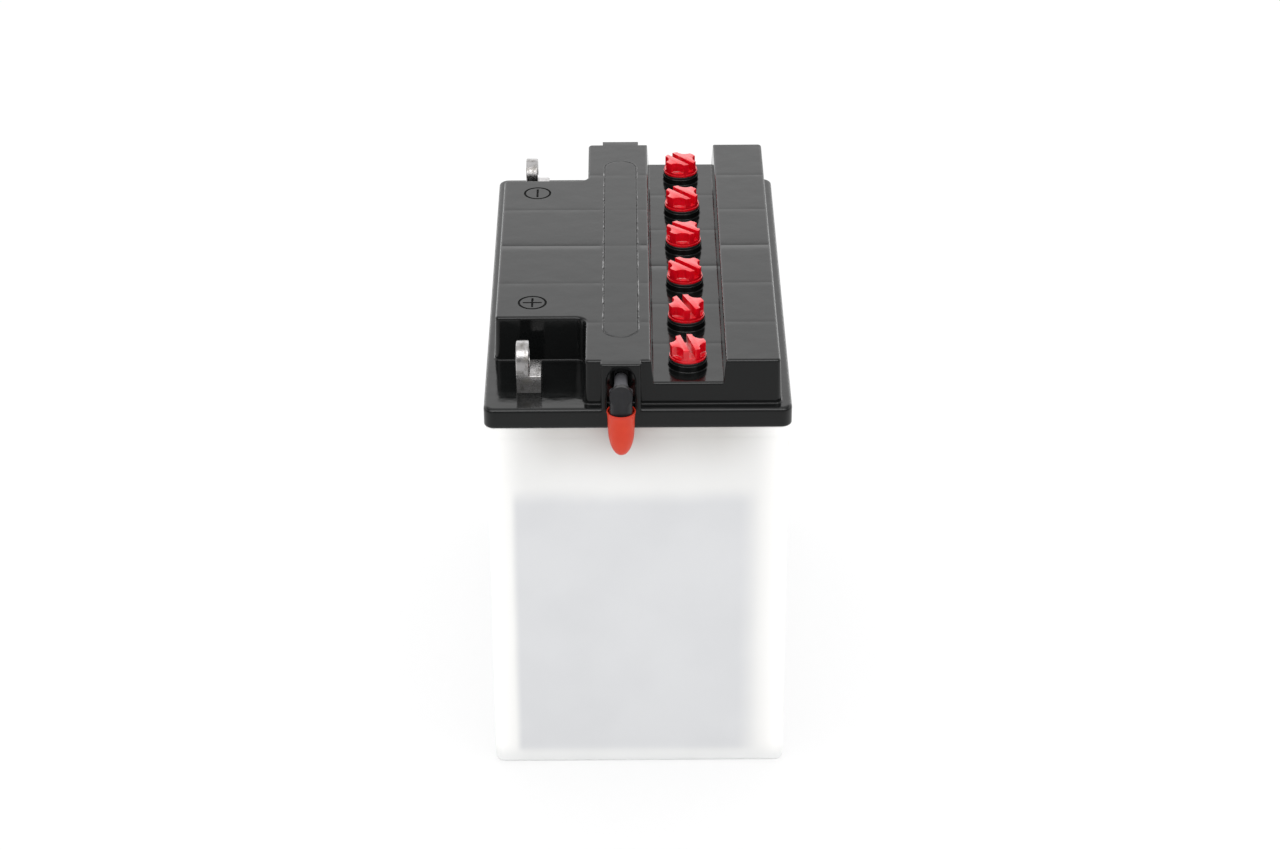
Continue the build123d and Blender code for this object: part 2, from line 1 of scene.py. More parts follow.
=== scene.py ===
"""Looks of the motorcycle battery: its finishes, the studio and the camera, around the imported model.

Lengths are in metres in the model's own frame: +Z is up, the origin is the centre of the
underside, the long side runs along Y and the vented end faces -Y. MM turns millimetres to metres.
"""
from math import cos, pi, radians, sin

import bmesh
import bpy
from mathutils import Matrix, Vector


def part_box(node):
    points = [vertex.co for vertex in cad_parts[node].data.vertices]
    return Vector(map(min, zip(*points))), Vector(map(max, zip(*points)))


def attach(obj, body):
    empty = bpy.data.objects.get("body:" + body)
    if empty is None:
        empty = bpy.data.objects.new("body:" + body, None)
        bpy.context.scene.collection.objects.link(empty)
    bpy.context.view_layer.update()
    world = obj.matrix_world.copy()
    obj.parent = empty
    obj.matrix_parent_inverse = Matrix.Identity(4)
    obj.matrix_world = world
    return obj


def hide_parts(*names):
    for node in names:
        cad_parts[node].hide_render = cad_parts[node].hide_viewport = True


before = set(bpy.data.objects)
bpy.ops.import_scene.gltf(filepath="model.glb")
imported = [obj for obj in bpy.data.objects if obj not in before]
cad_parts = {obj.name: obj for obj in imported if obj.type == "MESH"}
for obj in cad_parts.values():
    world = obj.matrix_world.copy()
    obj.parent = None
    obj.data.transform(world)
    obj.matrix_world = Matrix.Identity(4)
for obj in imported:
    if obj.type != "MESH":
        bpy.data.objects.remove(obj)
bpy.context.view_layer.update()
bpy.ops.object.select_all(action="DESELECT")

MM = 0.001
CELLS = range(1, 7)
WHITE = (1.0, 1.0, 1.0, 1.0)
EASED = {"interpolation_type": "SMOOTHSTEP"}    # for a Map Range that starts and ends softly

# ---------------------------------------------------------------- places, read from the frame
case_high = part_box("case")[1]
lid_low, lid_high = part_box("lid")
plates_low, plates_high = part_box("positive_plates_1")
last_plates_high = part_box("positive_plates_6")[1]
plug_low, plug_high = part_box("vent_plug_1")
last_plug_low, last_plug_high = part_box("vent_plug_6")
pitch = ((last_plug_low.y + last_plug_high.y) - (plug_low.y + plug_high.y)) / 2 / (len(CELLS) - 1)


# ---------------------------------------------------------------- material helpers
def linear(hex_colour):
    """An sRGB hex colour as the linear colour that a socket takes."""
    parts = [int(hex_colour[i:i + 2], 16) / 255 for i in (1, 3, 5)]
    return tuple(c / 12.92 if c <= 0.04045 else ((c + 0.055) / 1.055) ** 2.4 for c in parts) + (1.0,)


def feed(tree, socket, value):
    """Sets a socket to a value, or links it to another socket or to a node's result."""
    if isinstance(value, bpy.types.Node):
        value = next(output for output in value.outputs if output.enabled)
    if isinstance(value, bpy.types.NodeSocket):
        tree.links.new(value, socket)
    else:
        socket.default_value = value


def add(tree, kind, *values, **settings):
    """Adds a node with its settings and feeds its enabled inputs, in order or by name from a dict."""
    node = tree.nodes.new("ShaderNode" + kind)
    for name, value in settings.items():
        setattr(node, name, value)
    if values and isinstance(values[0], dict):
        for name, value in values[0].items():
            feed(tree, node.inputs[name], value)
    else:
        for socket, value in zip([each for each in node.inputs if each.enabled], values):
            feed(tree, socket, value)
    return node


def within(tree, *edges):
    """The product of eased steps: each is a value, its start and end, and the levels if not 0 and 1."""
    inside, *others = [add(tree, "MapRange", *edge, **EASED) for edge in edges]
    for other in others:
        inside = add(tree, "Math", inside, other, operation="MULTIPLY")
    return inside


def new_material(name):
    """A new material, its node tree and the inputs of its Principled shader."""
    material = bpy.data.materials.new(name)
    material.use_nodes = True
    tree = material.node_tree
    return material, tree, tree.nodes["Principled BSDF"].inputs


def give(material, *nodes):
    """Puts the material in the slots of CAD nodes."""
    for name in nodes:
        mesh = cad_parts[name].data
        mesh.materials.clear()
        mesh.materials.append(material)


# ---------------------------------------------------------------- modelling helpers
def only(piece):
    """Makes the piece the active one and the only one selected."""
    bpy.ops.object.select_all(action="DESELECT")
    piece.select_set(True)
    bpy.context.view_layer.objects.active = piece


def start(name, operator, **settings):
    """A new primitive, alone in the selection."""
    bpy.ops.object.select_all(action="DESELECT")
    operator(**settings)
    piece = bpy.context.object
    piece.name = name
    return piece


def modify(piece, kind, **settings):
    """Adds one modifier and applies it."""
    only(piece)
    modifier = piece.modifiers.new(kind.lower(), kind)
    for name, value in settings.items():
        setattr(modifier, name, value)
    bpy.ops.object.modifier_apply(modifier=modifier.name)


def combine(piece, other, operation):
    """Cuts, joins or trims the piece with another mesh, which is used up."""
    modify(piece, "BOOLEAN", operation=operation, solver="EXACT", object=other)
    bpy.data.objects.remove(other)
    return piece


def settle(piece):
    """Puts the piece's place into its mesh, so that the object sits at the origin."""
    only(piece)
    bpy.ops.object.transform_apply(location=True, rotation=True, scale=True)
    return piece


def cylinder(name, radius, low, high, x=0.0, y=0.0, vertices=64):
    """An upright cylinder between two heights."""
    return settle(start(name, bpy.ops.mesh.primitive_cylinder_add, vertices=vertices, radius=radius,
                        depth=high - low, location=(x, y, (low + high) / 2)))


def brick(name, low, high):
    """A box between two corners."""
    size = [b - a for a, b in zip(low, high)]
    centre = [(a + b) / 2 for a, b in zip(low, high)]
    piece = start(name, bpy.ops.mesh.primitive_cube_add, size=1.0, location=centre)
    piece.scale = size
    return settle(piece)


def copy_of(node, name):
    """A copy of a CAD node's mesh with its doubled points merged."""
    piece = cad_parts[node].copy()
    piece.data = piece.data.copy()
    piece.parent = None
    piece.name = name
    for key in list(piece.keys()):
        del piece[key]
    bpy.context.scene.collection.objects.link(piece)
    only(piece)
    bpy.ops.object.mode_set(mode="EDIT")
    bpy.ops.mesh.select_all(action="SELECT")
    bpy.ops.mesh.remove_doubles(threshold=0.002 * MM)
    bpy.ops.object.mode_set(mode="OBJECT")
    return piece


def twin(piece, name):
    """A copy with its own mesh."""
    other = piece.copy()
    other.data = piece.data.copy()
    other.name = name
    bpy.context.scene.collection.objects.link(other)
    return other


def pick(piece, test):
    """Enters edit mode with the vertices selected whose place passes the test."""
    only(piece)
    bpy.ops.object.mode_set(mode="EDIT")
    bpy.context.tool_settings.mesh_select_mode = (True, False, False)
    bpy.ops.mesh.select_all(action="DESELECT")
    shape = bmesh.from_edit_mesh(piece.data)
    for vertex in shape.verts:
        vertex.select = test(vertex.co)
    shape.select_flush(True)
    bmesh.update_edit_mesh(piece.data)


def dress(piece, material, body, node, angle=32):
    """Smooths, paints and hangs a finished piece on its body in place of a CAD node."""
    only(piece)
    bpy.ops.object.shade_smooth_by_angle(angle=radians(angle))
    piece.data.materials.clear()
    piece.data.materials.append(material)
    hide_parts(node)
    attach(piece, body)


def ring_by_ring(name, profile, x, y, vertices=40):
    """A turned shape: a disc that is extruded and scaled from ring to ring of (radius, height)."""
    radius, height = profile[0]
    piece = start(name, bpy.ops.mesh.primitive_circle_add, vertices=vertices, radius=radius,
                  location=(x, y, height), fill_type="TRIFAN")
    settle(piece)
    bpy.ops.object.mode_set(mode="EDIT")
    bpy.ops.mesh.select_all(action="SELECT")
    bpy.ops.mesh.region_to_loop()
    for new_radius, new_height in profile[1:]:
        bpy.ops.mesh.extrude_edges_move(TRANSFORM_OT_translate={"value": (0, 0, new_height - height)})
        bpy.ops.transform.resize(value=(new_radius / radius, new_radius / radius, 1.0),
                                 center_override=(x, y, new_height))
        radius, height = new_radius, new_height
    bpy.ops.mesh.edge_face_add()
    bpy.ops.mesh.poke()
    bpy.ops.mesh.select_all(action="SELECT")
    bpy.ops.mesh.normals_make_consistent(inside=False)
    bpy.ops.object.mode_set(mode="OBJECT")
    return piece


# ---------------------------------------------------------------- materials
def sink(tree, offset, beyond, before, depth):
    """A shallow valley, deepest and creased where offset is 0, with its own width on each side."""
    rise = add(tree, "Math", add(tree, "Math", offset, -1 / beyond, 1.0, operation="MULTIPLY_ADD"),
               add(tree, "Math", offset, 1 / before, 1.0, operation="MULTIPLY_ADD"), operation="MINIMUM")
    rise = add(tree, "Math", rise, 0.0, operation="MAXIMUM")
    rise = add(tree, "Math", rise, rise, operation="MULTIPLY")
    return add(tree, "Math", rise, -depth, operation="MULTIPLY")


def moulded_polypropylene_black():
    """Black moulded polypropylene: glossy, with soft sink lines over the ribs that stand under it."""
    material, tree, shader = new_material("moulded_polypropylene_black")
    place = add(tree, "TexCoord").outputs["Object"]
    across, along, up = add(tree, "SeparateXYZ", place).outputs
    shader["IOR"].default_value = 1.43
    flow = add(tree, "TexNoise", place, 1 / (11 * MM), 3.0)
    drawn = add(tree, "Mapping", {"Vector": place, "Scale": (0.25, 1.6, 1.0)})
    streaks = add(tree, "TexNoise", drawn, 1 / (5 * MM), 3.0)
    grain = add(tree, "TexNoise", place, 1 / (0.5 * MM), 3.0)
    rough = add(tree, "MapRange", streaks, 0.3, 0.7, 0.06, 0.15)

    # the engraved polarity marks are dull inside, and their floors are painted near black as painted shade of
    # their walls
    mark_inset, mark_along, mark_reach = 15.2 * MM, 42.3 * MM, 6 * MM
    mark_x = add(tree, "Math", across, lid_low.x + mark_inset, operation="SUBTRACT")
    mark_y = add(tree, "Math", along, operation="ABSOLUTE")
    mark_y = add(tree, "Math", mark_y, mark_along, operation="SUBTRACT")
    mark_squared = add(tree, "Math", mark_y, mark_y, operation="MULTIPLY")
    mark_squared = add(tree, "Math", mark_x, mark_x, mark_squared, operation="MULTIPLY_ADD")
    near_mark = add(tree, "Math", mark_squared, mark_reach ** 2, operation="LESS_THAN")
    sunk = add(tree, "MapRange", up, lid_high.z - 0.1 * MM, lid_high.z - 0.03 * MM, 1.0, 0.0, **EASED)
    engraved_dull_shade = add(tree, "Math", sunk, near_mark, operation="MULTIPLY")
    feed(tree, shader["Roughness"], add(tree, "Math", engraved_dull_shade, 0.85, rough, operation="MULTIPLY_ADD"))
    # painted shade: the marks' floors are painted near black
    feed(tree, shader["Base Color"],
         add(tree, "Mix", engraved_dull_shade, linear("#0b0c0c"), linear("#010101"), data_type="RGBA"))

    # the weld of the gallery's cover stands up as a thin broken bead round its outline
    cover_low, cover_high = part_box("gallery_cover")
    cover_x, cover_r = (cover_low.x + cover_high.x) / 2, (cover_high.x - cover_low.x) / 2 + 0.1 * MM
    cover_y, straight = (cover_low.y + cover_high.y) / 2, (cover_high.y - cover_low.y) / 2 - cover_r
    from_x = add(tree, "Math", across, cover_x, operation="SUBTRACT")
    from_y = add(tree, "Math", along, cover_y, operation="SUBTRACT")
    past = add(tree, "Math", add(tree, "Math", from_y, operation="ABSOLUTE"), straight, operation="SUBTRACT")
    past = add(tree, "Math", past, 0.0, operation="MAXIMUM")
    reach = add(tree, "Math", from_x, from_x, operation="MULTIPLY")
    reach = add(tree, "Math", past, past, reach, operation="MULTIPLY_ADD")
    reach = add(tree, "Math", reach, operation="SQRT")
    off_weld = add(tree, "Math", reach, cover_r + 0.15 * MM, operation="SUBTRACT")
    off_weld = add(tree, "Math", off_weld, operation="ABSOLUTE")
    broken = add(tree, "TexNoise", place, 1 / (6 * MM), 3.0)
    bead = within(tree, (off_weld, 0.05 * MM, 0.42 * MM, 1.0, 0.0), (broken, 0.4, 0.6, 0.25, 1.0))

    # ribs stand under the roof at every cell boundary, and the plastic sinks a little along them, most
    # of all along the middle one, on the level ground above the ledge, and less on the gallery's cover
    foot = lid_high.z - 10 * MM
    wander = add(tree, "TexNoise", place, 1 / (20 * MM), 3.0)
    wander = add(tree, "Math", wander, 0.8 * MM, -0.4 * MM, operation="MULTIPLY_ADD")
    wavy = add(tree, "Math", along, wander, operation="ADD")
    past_rib = add(tree, "Math", wavy, 10.5 * pitch, operation="ADD")
    past_rib = add(tree, "Math", past_rib, pitch, operation="MODULO")
    past_rib = add(tree, "Math", past_rib, pitch / 2, operation="SUBTRACT")
    sinks = add(tree, "Math", sink(tree, past_rib, beyond=2.6 * MM, before=3.0 * MM, depth=0.055),
                sink(tree, wavy, beyond=6.0 * MM, before=4.6 * MM, depth=0.13), operation="ADD")
    upward = add(tree, "SeparateXYZ", add(tree, "NewGeometry").outputs["Normal"]).outputs["Z"]
    sinking = within(tree, (reach, cover_r, cover_r + 2 * MM, 0.35, 1.0), (upward, 0.9, 0.98),
                     (up, foot - 2 * MM, foot))
    height = add(tree, "Math", sinking, sinks, operation="MULTIPLY")
    for relief, millimetres in ((bead, 0.32), (flow, 0.12), (grain, 0.002)):
        height = add(tree, "Math", relief, millimetres, height, operation="MULTIPLY_ADD")

    # edges are moulded round, most of all at the foot of the raised part; the marks' own are crisp
    edge_radius, foot_radius, mark_radius = 0.65 * MM, 1.1 * MM, 0.08 * MM
    by_height = add(tree, "MapRange", up, foot - 3 * MM, foot, foot_radius, edge_radius, **EASED)
    off_mark = add(tree, "MapRange", mark_squared, (mark_reach + 0.5 * MM) ** 2,
                   (mark_reach + 1.5 * MM) ** 2, **EASED)
    radius = add(tree, "Mix", off_mark, mark_radius, by_height, data_type="FLOAT")
    rounded = add(tree, "Bevel", radius, samples=8)
    feed(tree, shader["Normal"], add(tree, "Bump", {"Height": height, "Distance": MM, "Normal": rounded}))
    return material


def translucent_polypropylene():
    """Natural polypropylene of the case: milky, with the grey of the plate packs behind it, a glow towards
    the corners and shade under the lid all painted into its colour.
    """
    material, tree, shader = new_material("translucent_polypropylene")
    place = add(tree, "TexCoord").outputs["Object"]
    across, along, up = add(tree, "SeparateXYZ", place).outputs
    out_x = add(tree, "Math", across, operation="ABSOLUTE")
    out_y = add(tree, "Math", along, operation="ABSOLUTE")
    normal_y = add(tree, "SeparateXYZ", add(tree, "NewGeometry").outputs["Normal"]).outputs["Y"]
    end_wall = add(tree, "Math", normal_y, operation="ABSOLUTE")
    end_wall = add(tree, "MapRange", end_wall, 0.55, 0.85, **EASED)
    wobble = add(tree, "TexNoise", place, 1 / (16 * MM), 2.0)
    wobble = add(tree, "Math", wobble, 3.0 * MM, -1.5 * MM, operation="MULTIPLY_ADD")

    # painted shade of the plates: one block behind an end wall, six behind a long wall, with a lighter
    # partition between each two
    wavy_x = add(tree, "Math", wobble, 0.3, across, operation="MULTIPLY_ADD")
    inside_end = within(tree, (wavy_x, plates_low.x - 3.2 * MM, plates_low.x - 0.2 * MM),
                        (wavy_x, plates_high.x - 6.5 * MM, plates_high.x + 2.0 * MM, 1.0, 0.0))
    off_partition = add(tree, "Math", along, 3 * pitch, operation="ADD")
    off_partition = add(tree, "Math", off_partition, pitch / 2, operation="PINGPONG")
    off_partition = add(tree, "Math", off_partition, 1.7 * MM, operation="SUBTRACT")
    from_end = add(tree, "Math", last_plates_high.y, out_y, operation="SUBTRACT")
    inside_side = within(tree, (off_partition, -1.4 * MM, 1.6 * MM, 0.35, 1.0),
                         (from_end, -3.0 * MM, 1.0 * MM))
    inside = add(tree, "Mix", end_wall, inside_side, inside_end, data_type="FLOAT")
    wavy_up = add(tree, "Math", up, wobble, operation="ADD")
    from_top = add(tree, "Math", plates_high.z - 3.5 * MM, wavy_up, operation="SUBTRACT")
    from_floor = add(tree, "Math", up, plates_low.z, operation="SUBTRACT")
    tall = within(tree, (from_top, -5 * MM, 3.5 * MM), (from_floor, -2.5 * MM, 1.0 * MM))
    # painted shade: where the plates stand behind the wall, its colour is painted grey
    painted_pack_shade = add(tree, "Math", inside, tall, operation="MULTIPLY")

    # painted light: the walls are painted whiter towards the corners, where the light shines through more
    # plastic
    to_corner_x = add(tree, "Math", case_high.x, out_x, operation="SUBTRACT")
    to_corner_y = add(tree, "Math", case_high.y, out_y, operation="SUBTRACT")
    to_corner = add(tree, "Mix", end_wall, to_corner_y, to_corner_x, data_type="FLOAT")
    painted_corner_glow = add(tree, "MapRange", to_corner, 0.0, 13 * MM, 1.0, 0.0, **EASED)

    # painted shade: the wall is painted darker below the rim, where the straps, posts and the lid's skirt
    # shade it, less so at the corners
    painted_shade_under_lid = add(tree, "MapRange", up, case_high.z - 26 * MM, case_high.z + 2 * MM, **EASED)
    painted_shade_under_lid = add(tree, "Math", painted_shade_under_lid, 1.5, operation="POWER")
    off_corner = add(tree, "MapRange", to_corner, 2 * MM, 24 * MM, **EASED)
    painted_shade_under_lid = add(tree, "Math", painted_shade_under_lid, off_corner, operation="MULTIPLY")
    foot = add(tree, "MapRange", up, 1.0 * MM, 9 * MM, 0.8, 0.0, **EASED)
    cloud = add(tree, "TexNoise", place, 1 / (26 * MM), 2.0)
    cloud = add(tree, "MapRange", cloud, 0.3, 0.7, 0.0, 0.06, **EASED)
    tint = add(tree, "Mix", painted_corner_glow, linear("#dededd"), linear("#f6f5f3"), data_type="RGBA")
    for share, colour in ((painted_pack_shade, "#cbccce"), (painted_shade_under_lid, "#b7b5b2"), (foot, "#dcdddd"), (cloud, "#ffffff")):
        tint = add(tree, "Mix", share, tint, linear(colour), data_type="RGBA")
    feed(tree, shader["Base Color"], tint)

    shader["Roughness"].default_value = 0.36
    shader["IOR"].default_value = 1.49
    shader["Subsurface Weight"].default_value = 0.12
    shader["Subsurface Radius"].default_value = (1.0, 1.0, 1.0)
    shader["Subsurface Scale"].default_value = 1.2 * MM
    fine = add(tree, "TexNoise", place, 1 / (1.2 * MM), 3.0)
    fine = add(tree, "Math", fine, 0.006, operation="MULTIPLY")
    ripple = add(tree, "TexNoise", place, 1 / (30 * MM), 2.0)
    ripple = add(tree, "Math", ripple, 0.5, fine, operation="MULTIPLY_ADD")
    feed(tree, shader["Normal"], add(tree, "Bump", {"Height": ripple, "Distance": MM, "Strength": 0.6}))
    return material


def moulded_plug_red():
    """Red moulded polyethylene of the vent plugs: saturated, a little translucent, glossy edges."""
    material, tree, shader = new_material("moulded_plug_red")
    place = add(tree, "TexCoord").outputs["Object"]
    streak = add(tree, "TexNoise", place, 1 / (2.2 * MM), 3.0)
    depth = add(tree, "MapRange", streak, 0.3, 0.7, **EASED)
    feed(tree, shader["Base Color"],
         add(tree, "Mix", depth, linear("#c40414"), linear("#d80a1d"), data_type="RGBA"))
    shader["Roughness"].default_value = 0.2
    shader["IOR"].default_value = 1.5
    shader["Coat Weight"].default_value = 0.7
    shader["Coat Roughness"].default_value = 0.12
    shader["Subsurface Weight"].default_value = 0.25
    shader["Subsurface Radius"].default_value = (1.0, 0.12, 0.1)
    shader["Subsurface Scale"].default_value = 0.8 * MM
    fine = add(tree, "Math", add(tree, "TexNoise", place, 1 / (0.5 * MM), 3.0), 0.01, operation="MULTIPLY")
    height = add(tree, "Math", streak, 0.1, fine, operation="MULTIPLY_ADD")
    feed(tree, shader["Normal"], add(tree, "Bump", {"Height": height, "Distance": MM}))
    return material


def seal_rubber():
    """Black nitrile rubber of the plug seals: matt, finely textured."""
    material, tree, shader = new_material("seal_rubber")
    place = add(tree, "TexCoord").outputs["Object"]
    grain = add(tree, "TexNoise", place, 1 / (0.4 * MM), 3.0)
    feed(tree, shader["Base Color"],
         add(tree, "Mix", grain, linear("#0a0a0b"), linear("#131314"), data_type="RGBA"))
    shader["Roughness"].default_value = 0.55
    feed(tree, shader["Normal"], add(tree, "Bump", {"Height": grain, "Distance": 0.02 * MM}))
    return material


def dipped_vinyl_red():
    """Orange-red dipped vinyl of the vent cap: satin and soft, a little darker at the lip."""
    material, tree, shader = new_material("dipped_vinyl_red")
    place = add(tree, "TexCoord").outputs["Object"]
    up = add(tree, "SeparateXYZ", place).outputs["Z"]
    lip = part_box("vent_cap")[1].z
    streak = add(tree, "TexNoise", place, 1 / (4 * MM), 3.0)
    tint = add(tree, "Mix", streak, linear("#bc2c10"), linear("#c9391c"), data_type="RGBA")
    near_lip = add(tree, "MapRange", up, lip - 2.0 * MM, lip, 0.0, 0.35, **EASED)
    feed(tree, shader["Base Color"], add(tree, "Mix", near_lip, tint, linear("#b61c14"), data_type="RGBA"))
    shader["Roughness"].default_value = 0.42
    shader["IOR"].default_value = 1.42
    shader["Subsurface Weight"].default_value = 0.15
    shader["Subsurface Radius"].default_value = (1.0, 0.3, 0.15)
    shader["Subsurface Scale"].default_value = 0.8 * MM
    fine = add(tree, "Math", add(tree, "TexNoise", place, 1 / (0.4 * MM), 3.0), 0.01, operation="MULTIPLY")
    height = add(tree, "Math", streak, 0.1, fine, operation="MULTIPLY_ADD")
    feed(tree, shader["Normal"], add(tree, "Bump", {"Height": height, "Distance": MM}))
    return material


def moulded_elbow_black():
    """Charcoal moulded plastic of the vent elbow: satin, with fine vertical drag lines."""
    material, tree, shader = new_material("moulded_elbow_black")
    place = add(tree, "TexCoord").outputs["Object"]
    _, along, up = add(tree, "SeparateXYZ", place).outputs
    drawn = add(tree, "Mapping", {"Vector": place, "Scale": (1.0, 1.0, 0.12)})
    drag = add(tree, "TexNoise", drawn, 1 / (0.9 * MM), 3.0)
    dark = add(tree, "Mix", drag, linear("#141415"), linear("#222225"), data_type="RGBA")
    # the neck behind the collar is painted paler than the leg, as painted light for the highlights along its
    # flare
    front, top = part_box("vent_elbow")[0].y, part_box("vent_elbow")[1].z
    painted_neck_light = within(tree, (along, front + 1.7 * MM, front + 2.6 * MM, 0.0, 0.6),
                  (up, top - 6 * MM, top - 2 * MM))
    feed(tree, shader["Base Color"], add(tree, "Mix", painted_neck_light, dark, linear("#6c6c70"), data_type="RGBA"))
    shader["Roughness"].default_value = 0.28
    shader["IOR"].default_value = 1.4
    feed(tree, shader["Normal"], add(tree, "Bump", {"Height": drag, "Distance": 0.03 * MM}))
    return material


def cast_lead():
    """Cast lead alloy of the terminals: scraped bright, with pits and dull grey bands."""
    material, tree, shader = new_material("cast_lead")
    place = add(tree, "TexCoord").outputs["Object"]
    pits = add(tree, "TexNoise", place, 1 / (0.7 * MM), 4.0, 0.65)
    patches = add(tree, "TexNoise", place, 1 / (3.2 * MM), 3.0)
    drawn = add(tree, "Mapping", {"Vector": place, "Scale": (1.0, 1.0, 0.2), "Rotation": (0.5, 0.3, 0.0)})
    scrape = add(tree, "TexNoise", drawn, 1 / (0.5 * MM), 3.0)
    dull = add(tree, "Math", pits, 0.35, patches, operation="MULTIPLY_ADD")
    dull = add(tree, "MapRange", dull, 0.62, 0.9, **EASED)
    feed(tree, shader["Base Color"],
         add(tree, "Mix", dull, linear("#bebcbc"), linear("#8f8c88"), data_type="RGBA"))
    shader["Metallic"].default_value = 1.0
    feed(tree, shader["Roughness"], add(tree, "MapRange", dull, 0.0, 1.0, 0.22, 0.5))
    height = add(tree, "Math", scrape, 0.3, operation="MULTIPLY")
    height = add(tree, "Math", pits, 0.5, height, operation="MULTIPLY_ADD")
    feed(tree, shader["Normal"], add(tree, "Bump", {"Height": height, "Distance": 0.14 * MM}))
    return material


def plain(name, colour, roughness, metallic=0.0):
    """A finish of one colour with fine grain, for pieces that are shut inside the case."""
    material, tree, shader = new_material(name)
    place = add(tree, "TexCoord").outputs["Object"]
    grain = add(tree, "TexNoise", place, 1 / (0.8 * MM), 3.0)
    light = linear(colour)
    dark = tuple(c * 0.8 for c in light[:3]) + (1.0,)
    feed(tree, shader["Base Color"], add(tree, "Mix", grain, dark, light, data_type="RGBA"))
    shader["Roughness"].default_value = roughness
    shader["Metallic"].default_value = metallic
    return material


# ---------------------------------------------------------------- vent plugs
PLUG_TURNS = (14, 22, 44, 50, 42, 40)       # degrees, where each plug came to rest
FLUTE_ANGLES = (52.5, 127.5, 232.5, 307.5)  # degrees, of the finger flutes from the slot's line


def plug_head(seat, top):
    """Flange and crown about the Z axis: two lobes either side of a slot, each with two flutes."""
    crown_radius, flange_radius, stub_radius = 5.85 * MM, 6.1 * MM, 4.38 * MM
    flute_radius, flute_centre = 3.05 * MM, 7.35 * MM
    slot_length, slot_width, slot_depth = 14 * MM, 2.1 * MM, 3.1 * MM
    crown = cylinder("plug_head", crown_radius, seat + 0.3 * MM, top, vertices=96)
    for angle in FLUTE_ANGLES:
        flute = cylinder("flute", flute_radius, seat + 1.5 * MM, top + MM,
                         flute_centre * cos(radians(angle)), flute_centre * sin(radians(angle)))
        modify(flute, "BEVEL", width=0.5 * MM, segments=3, limit_method="ANGLE")
        combine(crown, flute, "DIFFERENCE")
    slot = brick("slot", (-slot_length / 2, -slot_width / 2, top - slot_depth),
                 (slot_length / 2, slot_width / 2, top + MM))
    combine(crown, slot, "DIFFERENCE")
    modify(crown, "BEVEL", width=0.32 * MM, segments=3, limit_method="ANGLE", angle_limit=radians(38))
    flange = cylinder("flange", flange_radius, seat, seat + 0.8 * MM, vertices=96)
    modify(flange, "BEVEL", width=0.2 * MM, segments=2, limit_method="ANGLE")
    combine(crown, flange, "UNION")
    return combine(crown, cylinder("stub", stub_radius, seat - 0.6 * MM, seat + 0.4 * MM), "UNION")


def vent_plugs(material):
    """Six plugs: one head, copied and turned, on each plug's own threaded body."""
    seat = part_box("plug_seal_1")[1].z
    reach = 10 * MM
    head = plug_head(seat, plug_high.z)
    for n in CELLS:
        low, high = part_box(f"vent_plug_{n}")
        middle = (low + high) / 2
        body = copy_of(f"vent_plug_{n}", f"screw_plug_{n}")
        keep = brick("keep", (middle.x - reach, middle.y - reach, low.z - reach),
                     (middle.x + reach, middle.y + reach, seat - 0.3 * MM))
        combine(body, keep, "INTERSECT")
        own = twin(head, "head")
        own.rotation_euler = (0, 0, radians(90 + PLUG_TURNS[n - 1]))
        own.location = (middle.x, middle.y, 0)
        settle(own)
        combine(body, own, "UNION")
        dress(body, material, f"plug_{n}", f"vent_plug_{n}")
    bpy.data.objects.remove(head)


def plug_seals(material):
    """Six rubber rings with rounded edges under the plugs."""
    hole_radius = 4.6 * MM
    for n in CELLS:
        low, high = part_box(f"plug_seal_{n}")
        x, y = (low.x + high.x) / 2, (low.y + high.y) / 2
        ring = cylinder(f"rubber_ring_{n}", (high.x - low.x) / 2, low.z, high.z, x, y, 96)
        combine(ring, cylinder("hole", hole_radius, low.z - MM, high.z + MM, x, y), "DIFFERENCE")
        modify(ring, "BEVEL", width=0.25 * MM, segments=3, limit_method="ANGLE")
        dress(ring, material, f"seal_{n}", f"plug_seal_{n}")


# ---------------------------------------------------------------- vent elbow and cap
# rings of the neck in millimetres: radius, and how far behind the collar's face
NECK = ((3.45, 1.95), (3.3, 2.6), (2.75, 4.4), (2.35, 6.4), (2.12, 8.6))


